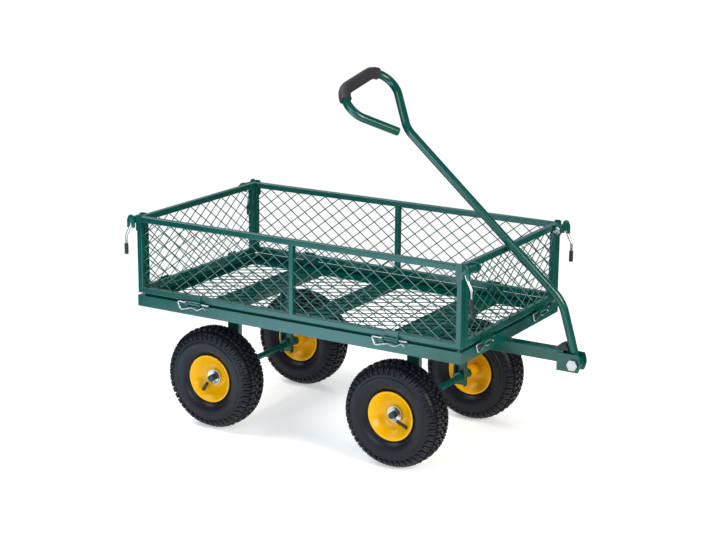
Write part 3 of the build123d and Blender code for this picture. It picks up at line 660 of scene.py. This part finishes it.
# %% Valve stem
VALVE_TIP_RADIUS = 18
VALVE_TIP_OUT = 25
VALVE_LEAN = math.radians(16)
RIB_PITCH = 2.6
valve_profile = [(0, 0), (3.2, 0), (4, 0.9), (4, 2.4)]
for rib in range(4):
    rib_start = rib * RIB_PITCH
    valve_profile += [(4.2, 2.8 + rib_start), (4.2, 4.4 + rib_start), (3.8, 4.8 + rib_start)]
valve_profile += [(3.8, 14), (3.4, 14.6), (3.4, 17), (4.2, 18), (4.2, 31), (0, 31)]


def valve_point(side, along):
    """A point this far down the stem from its tip, and this far aside of its middle, in millimetres."""
    reach = along * math.cos(VALVE_LEAN)
    drop = along * math.sin(VALVE_LEAN)
    return wheel_point(-VALVE_TIP_RADIUS - reach, VALVE_TIP_OUT - drop, side)


valve_model = draw_line("valve", [valve_point(*point) for point in valve_profile])
stem_line = valve_point(0, 1) - valve_point(0, 0)
bpy.ops.mesh.spin(steps=20, angle=math.tau, center=valve_point(0, 0), axis=stem_line)
close_up()
print(faces_of(valve_model))


# %% Put a tyre, a rim and a valve on every wheel
def turned_valve(name, degrees):
    """The valve stem turned about the axle, which has it hang straight down when it is drawn."""
    twin = copy_piece(valve_model, name)
    bpy.ops.transform.rotate(value=math.radians(degrees), orient_axis="Y", center_override=WHEEL_MIDDLE)
    settle()
    return twin


STAY = Vector((0, 0, 0))
TO_REAR = Vector((-WHEEL_BASE, 0, 0))
valve_of_end = {
    "front": turned_valve("front_valve_pattern", 56),
    "rear": turned_valve("rear_valve_pattern", -38),
}
for end in ("front", "rear"):
    for hand in ("right", "left"):
        body = f"{end}_{hand}_wheel"
        turned = hand == "left"
        at_rear = (end == "rear") != turned
        shift = TO_REAR if at_rear else STAY
        tyre = copy_piece(tyre_model, f"{end}_{hand}_air_tyre", shift, turned)
        finish_piece(tyre, tyre_rubber, body, "tyre_rubber", f"{end}_{hand}_tyre")
        rim = copy_piece(rim_model, f"{end}_{hand}_dished_rim", shift, turned)
        finish_piece(rim, enamel, body, "yellow_enamel", f"{end}_{hand}_rim")
        pattern = valve_of_end["rear" if at_rear else "front"]
        valve = copy_piece(pattern, f"{end}_{hand}_valve_stem", shift, turned)
        finish_piece(valve, black_rubber, body, "black_rubber", f"{end}_{hand}_valve")
discard(tyre_model, rim_model, valve_model, *valve_of_end.values())
print("wheels dressed")

# %% [markdown]
# ## Axles
# Each axle is a round bar with a collar behind each hub, a boss where it passes through a leg and a black
# end. A cup washer and a split pin keep the wheel on. The washer is a pressed dish with a rolled rim, so
# it is spun from a profile, as the bar is. The pin is one wire bent double, with an eye on top.

# %% Bent wire helper
def bent_wire(name, points, diameter, setbacks, roundness=4):
    """Round wire through the points. Each inner corner is rounded, starting this far from the corner."""
    wire = draw_line(name, points)
    for corner, setback in zip(points[1:-1], setbacks):
        bpy.ops.mesh.select_all(action="DESELECT")
        bpy.ops.object.mode_set(mode="OBJECT")
        for vertex in wire.data.vertices:
            vertex.select = (vertex.co - Vector(corner)).length < 0.02 * MM
        bpy.ops.object.mode_set(mode="EDIT")
        bpy.ops.mesh.bevel(offset=setback, segments=6, affect="VERTICES")
    bpy.ops.mesh.select_all(action="SELECT")
    bpy.ops.mesh.remove_doubles(threshold=0.05 * MM)
    bpy.ops.object.mode_set(mode="OBJECT")
    choose(wire)
    bpy.ops.object.convert(target="CURVE")
    wire = bpy.context.object
    wire.data.bevel_depth = diameter / 2
    wire.data.bevel_resolution = roundness
    wire.data.use_fill_caps = True
    bpy.ops.object.convert(target="MESH")
    wire = bpy.context.object
    bpy.ops.object.mode_set(mode="EDIT")
    close_up()
    return wire


# %% Cup washer and split pin
washer_loop = [
    (8.4, 6.6), (12, 6.6), (16.4, 7.2), (18.6, 8.4), (19.4, 9.6), (19, 10.6), (18, 10.8), (16.6, 10.2),
    (14.4, 9.4), (11.6, 9.2), (8.4, 9.2), (8.4, 6.6),
]
washer = turned_on_axle("cup_washer", washer_loop, 40)
PIN_OUT = 12
PIN_WIRE = 2 * MM
eye_route = [(10, 0), (13, 3), (16.6, 0), (13, -3), (8, 0)]
eye = [wheel_point(radius, PIN_OUT, forward) for radius, forward in eye_route]
split_pin = bent_wire("split_pin", eye, PIN_WIRE, [1.5 * MM, 2 * MM, 1.5 * MM])
legs = []
for lean in (2.4, -2.4):
    leg_route = [(10, lean / 4), (-10, lean / 4), (-15, lean)]
    leg = [wheel_point(radius, PIN_OUT, forward) for radius, forward in leg_route]
    legs.append(bent_wire("pin_leg", leg, PIN_WIRE, [2 * MM]))
retainer_model = join(washer, split_pin, *legs)
print(faces_of(retainer_model), "for a washer and its pin")

# %% Axle bar and its black end
cap_loop = [(0, 27.2), (5.6, 27.2), (7.4, 26.4), (8.3, 25), (8.3, 9.3)]
cap_model = turned_on_axle("axle_end", cap_loop, 32)
TRACK_MM = 2 * (HALF_TRACK / MM)
axle_half = [
    (0, 27), (7, 27), (8, 26), (8, -44.3), (10, -44.3), (10, -52), (8, -53), (8, -73), (14.4, -74),
    (14.4, -92), (8, -93),
]
axle_loop = axle_half + [(radius, -TRACK_MM - outward) for radius, outward in reversed(axle_half)]
axle_model = turned_on_axle("axle", axle_loop, 32)
print(faces_of(cap_model), faces_of(axle_model))

# %% Put them on both axles
for end, body in (("front", "front_truck"), ("rear", "chassis")):
    near_shift = TO_REAR if end == "rear" else STAY
    far_shift = STAY if end == "rear" else TO_REAR
    bar = copy_piece(axle_model, f"{end}_axle_bar", near_shift)
    finish_piece(bar, green_coat, body, "green_powder_coat", f"{end}_axle")
    near = copy_piece(retainer_model, f"{end}_washers_and_pins", near_shift)
    far = copy_piece(retainer_model, "far_retainer", far_shift, turned=True)
    finish_piece(join(near, far), zinc, body, "zinc_plated_steel", f"{end}_axle_retainers")
    near = copy_piece(cap_model, f"{end}_axle_ends", near_shift)
    far = copy_piece(cap_model, "far_end", far_shift, turned=True)
    finish_piece(join(near, far), black_rubber, body, "black_rubber")
discard(retainer_model, cap_model, axle_model)
print("axles done")

# %% [markdown]
# ## Wire walls
# Each wall is filled with straight wires laid over each other in two layers and welded into diamonds
# about 44 mm long and 33 mm high. One wire is made, repeated by an array, crossed by a second layer, and
# cut to the window with bisect, so every wire ends cleanly inside the frame tubes.

# %% One layer of wires
WIRE_RADIUS = 1.3 * MM
LAYER_OFFSET = 0.85
OVERRUN = 12 * MM
DIAMONDS_ACROSS = 10
COLUMNS_CROSSED = 5
WINDOW_HEIGHT = PANEL_HIGH - PANEL_LOW - 2 * TUBE
WINDOW_MIDDLE_Z = (PANEL_HIGH + PANEL_LOW) / 2


def repeat(piece, offset, count):
    """Repeats a piece this many times in a row, each copy this far from the one before."""
    choose(piece)
    row = piece.modifiers.new("side_by_side", "ARRAY")
    row.use_relative_offset = False
    row.use_constant_offset = True
    row.constant_offset_displace = offset
    row.count = count
    bpy.ops.object.modifier_apply(modifier=row.name)


def wire_layer(width, lean):
    """All the wires of one direction, long enough to overrun a window of this width."""
    column = width / DIAMONDS_ACROSS
    run = COLUMNS_CROSSED * column
    bpy.ops.object.select_all(action="DESELECT")
    bpy.ops.mesh.primitive_cylinder_add(
        vertices=6,
        radius=WIRE_RADIUS,
        depth=math.hypot(run, WINDOW_HEIGHT) + OVERRUN,
        location=(-width / 2 - run / 2, lean * WIRE_RADIUS * LAYER_OFFSET, 0),
        rotation=(0, lean * math.atan2(run, WINDOW_HEIGHT), 0),
    )
    layer = bpy.context.object
    settle()
    repeat(layer, (column, 0, 0), DIAMONDS_ACROSS + COLUMNS_CROSSED + 1)
    return layer


print("each window is", round(WINDOW_HEIGHT / MM, 1), "mm high")

# %% A sheet of crossed wires
INTO_TUBE = 1 * MM


def cut_to(piece, low, high):
    """Cuts a piece to a box with bisect and closes the cut ends. None leaves that direction alone."""
    choose(piece)
    bpy.ops.object.mode_set(mode="EDIT")
    for axis in range(3):
        for limit, sign in ((low[axis], -1), (high[axis], 1)):
            if limit is None:
                continue
            normal = [0, 0, 0]
            normal[axis] = sign
            place = [0, 0, 0]
            place[axis] = limit
            bpy.ops.mesh.select_all(action="SELECT")
            bpy.ops.mesh.bisect(plane_co=place, plane_no=normal, use_fill=True, clear_outer=True)
    bpy.ops.object.mode_set(mode="OBJECT")


def wire_sheet(name, width):
    """Crossed wires that fill a window of this width, upright along X, centred on the origin."""
    sheet = join(wire_layer(width, 1), wire_layer(width, -1))
    rename(sheet, name)
    half_width = width / 2 + INTO_TUBE
    half_height = WINDOW_HEIGHT / 2 + INTO_TUBE
    cut_to(sheet, (-half_width, None, -half_height), (half_width, None, half_height))
    return sheet


SIDE_WINDOW = 437.5 * MM
half_sheet = wire_sheet("half_sheet", SIDE_WINDOW)
print(faces_of(half_sheet))

# %% Fill the four walls
POST = 13 * MM
SIDE_MESH_Y = BED_HALF_WIDTH - TUBE / 2
to_window = (SIDE_WINDOW + POST) / 2
right_sheet = join(
    copy_piece(half_sheet, "side_panel_right_wires", (BED_X - to_window, -SIDE_MESH_Y, WINDOW_MIDDLE_Z)),
    copy_piece(half_sheet, "second_half", (BED_X + to_window, -SIDE_MESH_Y, WINDOW_MIDDLE_Z)),
)
left_sheet = copy_piece(right_sheet, "side_panel_left_wires", turned=True)
discard(half_sheet)

GATE_WINDOW = 456 * MM
front_sheet = wire_sheet("front_gate_wires", GATE_WINDOW)
bpy.ops.transform.rotate(value=math.pi / 2, orient_axis="Z", center_override=(0, 0, 0))
bpy.ops.transform.translate(value=(FRONT_FACE - TUBE / 2, 0, WINDOW_MIDDLE_Z))
settle()
rear_sheet = copy_piece(front_sheet, "rear_gate_wires", turned=True)

for sheet, body in (
    (right_sheet, "side_panel_right"),
    (left_sheet, "side_panel_left"),
    (front_sheet, "front_gate"),
    (rear_sheet, "rear_gate"),
):
    finish_piece(sheet, wire_coat_painted_sheen, body, "green_powder_coat", f"{body}_mesh")
    print(faces_of(sheet))

# %% [markdown]
# ## Floor
# The floor is expanded metal: a plate that is slit in rows and pulled, so its strands zigzag and meet at
# knots. One strand is drawn as a zigzag, widened and thickened, mirrored for its neighbour, and repeated
# across the bed. The knots come from strands that overlap at their corners.

# %% Two strands
DIAMOND_LONG = 60 * MM
DIAMOND_WIDE = 40 * MM
STRAND = 2.4 * MM
FLOOR_LENGTH = 872 * MM
FLOOR_WIDTH = 472 * MM
FLOOR_LOW = 314 * MM
FLOOR_THICK = 2 * MM
steps = math.ceil(FLOOR_LENGTH / DIAMOND_LONG) + 1
reach = (DIAMOND_WIDE - STRAND) / 4
strand_points = []
for step in range(2 * steps + 1):
    side = 1 if step % 2 else -1
    along = step * DIAMOND_LONG / 2 - steps * DIAMOND_LONG / 2
    strand_points.append((along, side * reach - STRAND / 2, 0))
mirrored_points = [(x, -y - STRAND + DIAMOND_WIDE / 2, z) for x, y, z in strand_points]


def strand_row(name, points):
    """A zigzag strand, widened and thickened."""
    strand = draw_line(name, points)
    bpy.ops.mesh.extrude_region_move(TRANSFORM_OT_translate={"value": (0, STRAND, 0)})
    bpy.ops.mesh.select_all(action="SELECT")
    bpy.ops.mesh.extrude_region_move(TRANSFORM_OT_translate={"value": (0, 0, FLOOR_THICK)})
    close_up()
    return strand


floor_sheet = join(strand_row("one_way", strand_points), strand_row("other_way", mirrored_points))
rename(floor_sheet, "floor_expanded_metal")
print(faces_of(floor_sheet), "for two strands")

# %% Expanded metal floor
row_count = math.ceil(FLOOR_WIDTH / DIAMOND_WIDE) + 2
repeat(floor_sheet, (0, DIAMOND_WIDE, 0), row_count)
bpy.ops.transform.translate(value=(BED_X, -row_count * DIAMOND_WIDE / 2, FLOOR_LOW))
settle()
cut_to(
    floor_sheet,
    (BED_X - FLOOR_LENGTH / 2, -FLOOR_WIDTH / 2, None),
    (BED_X + FLOOR_LENGTH / 2, FLOOR_WIDTH / 2, None),
)
finish_piece(floor_sheet, floor_coat_painted_shade, "chassis", "green_powder_coat", "floor_mesh", angle=20)
print(faces_of(floor_sheet))

# %% [markdown]
# ## Hinge clips
# The hinge pins are wire clips. One leg runs straight through the ears and the knuckle. The other springs
# back under it in a wave, and its tip turns out so that a finger can lift it.

# %% Wire clips
CLIP_WIRE = 3.6 * MM
CLIP_OUT = 7 * MM
CLIP_Z = 331 * MM
SIDE_CLIPS_AT = (-280 * MM, 280 * MM)
GATE_CLIPS_AT = (-150 * MM, 150 * MM)
clip_route = [(44, 0), (-51, 0), (-41, -20.5), (-8, -10.6), (10, -15.4), (28, -6), (36, -11)]
clip_setbacks = [5 * MM, 5 * MM, 4 * MM, 4 * MM, 3 * MM]


def wire_clip(middle, pin_line):
    """One clip, from the middle of its pin and the direction in which the pin runs."""
    route = [middle + pin_line * (along * MM) + Vector((0, 0, rise * MM)) for along, rise in clip_route]
    return bent_wire("wire_clip", route, CLIP_WIRE, clip_setbacks)


clips = []
for side_clip in SIDE_CLIPS_AT:
    pin_middle = Vector((BED_X + side_clip, -BED_HALF_WIDTH - CLIP_OUT, CLIP_Z))
    clips.append(wire_clip(pin_middle, Vector((1, 0, 0))))
for gate_clip in GATE_CLIPS_AT:
    pin_middle = Vector((FRONT_FACE + CLIP_OUT, gate_clip, CLIP_Z))
    clips.append(wire_clip(pin_middle, Vector((0, 1, 0))))
half_of_clips = join(*clips)
rename(half_of_clips, "hinge_wire_clips")
all_clips = join(half_of_clips, copy_piece(half_of_clips, "other_clips", turned=True))
finish_piece(all_clips, zinc, "chassis", "zinc_plated_steel", "hinge_clips")
print(faces_of(all_clips))

# %% [markdown]
# ## Corner latches
# A latch is a green sleeve with a hook plate, and a bright rod that hangs from it as a lever. The plate
# has a round nose above and two square legs below, with the slot between them that holds the rod. It is
# drawn as an outline, extruded and bevelled. The bolt through it ends in a rivet that was painted over.

# %% Hook plate
LATCH_OUT = 10.5
LATCH_Z = 518
HOOK_INNER_FACE = 264
HOOK_THICK = 6.5
HOOK_RADIUS = 10.5
NOSE_RADIUS = 7.5
NOSE_RISE = 7.5
LEG_DROP = 18
SLOT_HALF = 4.5
SLOT_DROP = 7


def latch_point(across, outward, height):
    """A point at the front right latch: across the cart, out from the front face, and up, in mm."""
    return Vector((FRONT_FACE + outward * MM, -across * MM, height * MM))


tangent = math.acos((HOOK_RADIUS - NOSE_RADIUS) / NOSE_RISE)
right_half = []
for part in range(7):
    angle = tangent * part / 6
    right_half.append((NOSE_RADIUS * math.sin(angle), NOSE_RISE + NOSE_RADIUS * math.cos(angle)))
for part in range(5):
    angle = tangent + (math.pi / 2 - tangent) * part / 4
    right_half.append((HOOK_RADIUS * math.sin(angle), HOOK_RADIUS * math.cos(angle)))
right_half += [(HOOK_RADIUS, -LEG_DROP), (SLOT_HALF, -LEG_DROP), (SLOT_HALF, -SLOT_DROP)]
left_half = [(-side, rise) for side, rise in reversed(right_half[1:])]
hook_outline = [
    latch_point(HOOK_INNER_FACE, LATCH_OUT + side, LATCH_Z + rise) for side, rise in right_half + left_half
]
hook_plate = draw_line("hook", hook_outline)
bpy.ops.mesh.edge_face_add()
bpy.ops.mesh.extrude_region_move(TRANSFORM_OT_translate={"value": (0, -HOOK_THICK * MM, 0)})
close_up()
soften_edges(hook_plate, 0.9 * MM, segments=2, sharper_than=60)
print(faces_of(hook_plate))


# %% Sleeve and lever rod
def latch_spin(name, profile):
    """A turned piece on the latch's bolt, from its radii and its distances across the cart."""
    outline = [latch_point(across, LATCH_OUT, LATCH_Z + radius) for radius, across in profile]
    turned_piece = draw_line(name, outline)
    bolt_middle = latch_point(0, LATCH_OUT, LATCH_Z)
    bpy.ops.mesh.spin(steps=28, angle=math.tau, center=bolt_middle, axis=(0, 1, 0))
    close_up()
    return turned_piece


ROD_WIRE = 6 * MM
sleeve = latch_spin("sleeve", [(0, 224.6), (8.4, 224.6), (9.2, 225.2), (9.5, 226.2), (9.5, 264.2)])
hook_model = join(hook_plate, sleeve)
rod_route = [(10.5, 512), (10.5, 508), (27, 476), (27, 434)]
rod_line = [latch_point(HOOK_INNER_FACE + HOOK_THICK / 2, *point) for point in rod_route]
rod_model = bent_wire("lever_rod", rod_line, ROD_WIRE, [2.9 * MM, 6 * MM], 5)
print(faces_of(hook_model), faces_of(rod_model))

# %% Bolt head and rivet
HEAD_ACROSS_FLATS = 18
HEAD_MIDDLE = 214
bpy.ops.object.select_all(action="DESELECT")
bpy.ops.mesh.primitive_cylinder_add(
    vertices=6,
    radius=HEAD_ACROSS_FLATS / math.sqrt(3) * MM,
    depth=8 * MM,
    location=latch_point(HEAD_MIDDLE, LATCH_OUT, LATCH_Z),
    rotation=(math.pi / 2, 0, 0),
)
head_model = bpy.context.object
settle()
bpy.ops.object.mode_set(mode="EDIT")
bpy.ops.mesh.select_all(action="SELECT")
bpy.ops.mesh.bevel(offset=0.9 * MM, segments=2, affect="EDGES")
bpy.ops.object.mode_set(mode="OBJECT")
rivet_model = latch_spin(
    "rivet", [(0, 270.6), (6.5, 270.6), (6.5, 271.4), (6, 272.6), (5, 273.4), (3.4, 273.7), (0, 273.7)]
)
print(faces_of(head_model), faces_of(rivet_model))


# %% Put a latch on every corner
def mirrored_copy(piece, name):
    """A copy on the other side of the cart."""
    twin = copy_piece(piece, name)
    bpy.ops.transform.mirror(constraint_axis=(False, True, False), center_override=(0, 0, 0))
    settle()
    bpy.ops.object.mode_set(mode="EDIT")
    close_up()
    return twin


for end in ("front", "rear"):
    at_rear = end == "rear"
    for hand in ("right", "left"):
        body = f"{end}_{hand}_latch"
        for model, label, material, slot in (
            (hook_model, "hook", green_coat, "green_powder_coat"),
            (rod_model, "rod", zinc, "zinc_plated_steel"),
        ):
            piece = model
            if at_rear == (hand == "right"):
                piece = mirrored_copy(model, "mirrored")
            placed = copy_piece(piece, f"{body}_{label}", turned=at_rear)
            finish_piece(placed, material, body, slot, f"{body}_lever")
            if piece != model:
                discard(piece)
    for model, label, material, slot in (
        (head_model, "heads", zinc, "zinc_plated_steel"),
        (rivet_model, "rivets", green_coat, "green_powder_coat"),
    ):
        pair = join(copy_piece(model, "pair"), mirrored_copy(model, "mirrored"))
        placed = copy_piece(pair, f"{end}_gate_latch_bolt_{label}", turned=at_rear)
        finish_piece(placed, material, f"{end}_gate", slot, f"{end}_gate_latch_bolts")
        discard(pair)
discard(hook_model, rod_model, head_model, rivet_model)
print("latches done")

# %% [markdown]
# ## Handle
# The handle is one length of tube from a bender: straight runs joined by arcs. It leans a little to the
# cart's right, so its own directions are worked out first. A sweep along a line gives a smoother skin
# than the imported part's small facets, and its cut end is hollowed with two insets.

# %% Line of the handle
HANDLE_LEAN = math.radians(12)
ACROSS = Vector((0, math.cos(HANDLE_LEAN), math.sin(HANDLE_LEAN)))
LEANING_UP = Vector((0, -math.sin(HANDLE_LEAN), math.cos(HANDLE_LEAN)))
ROD_FOOT = Vector((FRONT_FACE + 168 * MM, 2 * MM, 262 * MM))
ROD_BEND = ROD_FOOT + Vector((-28 * MM, 0, 0)) + LEANING_UP * (155 * MM)
NECK = ROD_FOOT + Vector((-400 * MM, 0, 0)) + LEANING_UP * (542 * MM)
ALONG = (NECK - ROD_BEND).normalized()
EYE_RADIUS = 12.5 * MM
LOOP_REACH = 159
LOOP_BEND = 48


def on_loop(reach, across):
    """A point in the plane of the handle's loop, in mm from its neck."""
    return NECK + ALONG * (reach * MM) + ACROSS * (across * MM)


def bender_line(corners, radii):
    """Points along straight runs joined by arcs, one point every four degrees or less."""
    points = [corners[0]]
    for before, corner, after, radius in zip(corners, corners[1:], corners[2:], radii):
        back = (before - corner).normalized()
        onward = (after - corner).normalized()
        half = back.angle(onward) / 2
        centre = corner + (back + onward).normalized() * (radius / math.sin(half))
        first = corner + back * (radius / math.tan(half)) - centre
        last = corner + onward * (radius / math.tan(half)) - centre
        turn = math.pi - 2 * half
        count = math.ceil(math.degrees(turn) / 4)
        for step in range(count + 1):
            angle = turn * step / count
            swing = first * math.sin(turn - angle) + last * math.sin(angle)
            points.append(centre + swing / math.sin(turn))
    return points + [corners[-1]]


tube_corners = [
    ROD_FOOT + (ROD_BEND - ROD_FOOT).normalized() * EYE_RADIUS,
    ROD_BEND,
    NECK,
    on_loop(LOOP_REACH, 132),
    on_loop(LOOP_REACH, -168),
    on_loop(8, -33.5),
]
bend_radii = [90 * MM, 50 * MM, LOOP_BEND * MM, LOOP_BEND * MM]
tube_line = bender_line(tube_corners, bend_radii)
print("the handle's line has", len(tube_line), "points")

# %% Handle tube
HANDLE_DIAMETER = 20 * MM
HANDLE_WALL = 2 * MM


def select_cut_ends():
    """Opens the swept piece just made in edit mode, with only its two flat ends selected."""
    bpy.ops.object.mode_set(mode="EDIT")
    bpy.ops.mesh.select_all(action="DESELECT")
    bpy.ops.mesh.select_face_by_sides(number=4, type="GREATER")


handle_tube = bent_wire("bent_handle_tube", tube_line, HANDLE_DIAMETER, [], 10)
select_cut_ends()
bpy.ops.mesh.inset(thickness=HANDLE_WALL, depth=0)
bpy.ops.mesh.inset(thickness=0.05 * MM, depth=-25 * MM)
bpy.ops.object.mode_set(mode="OBJECT")
finish_piece(handle_tube, green_coat, "handle", "green_powder_coat", "handle_tube")
print(faces_of(handle_tube))

# %% [markdown]
# ## Grip
# A foam sleeve covers the straight of the handle's loop and part of both bends. It is drawn on the same
# line as the tube under it, as thick wire, and its ends are rounded as cut foam wears.

# %% Foam grip
GRIP_DIAMETER = 29 * MM
BEND_REACH = LOOP_REACH - LOOP_BEND
LEFT_BEND_AT = 29.77
RIGHT_BEND_AT = 60.96
left_turns = range(38, -1, -2)
right_turns = range(0, 59, 2)
grip_route = []
for side, bend_at, turns in ((1, LEFT_BEND_AT, left_turns), (-1, RIGHT_BEND_AT, right_turns)):
    for degrees in turns:
        turn = math.radians(degrees)
        reach = BEND_REACH + LOOP_BEND * math.cos(turn)
        across = side * (bend_at + LOOP_BEND * math.sin(turn))
        grip_route.append(on_loop(reach, across))
grip = bent_wire("foam_handle_grip", grip_route, GRIP_DIAMETER, [], 8)
select_cut_ends()
bpy.ops.mesh.bevel(offset=3.5 * MM, segments=3, affect="EDGES")
bpy.ops.object.mode_set(mode="OBJECT")
finish_piece(grip, grip_foam, "handle", "foam_grip", "handle_grip")
print(faces_of(grip))
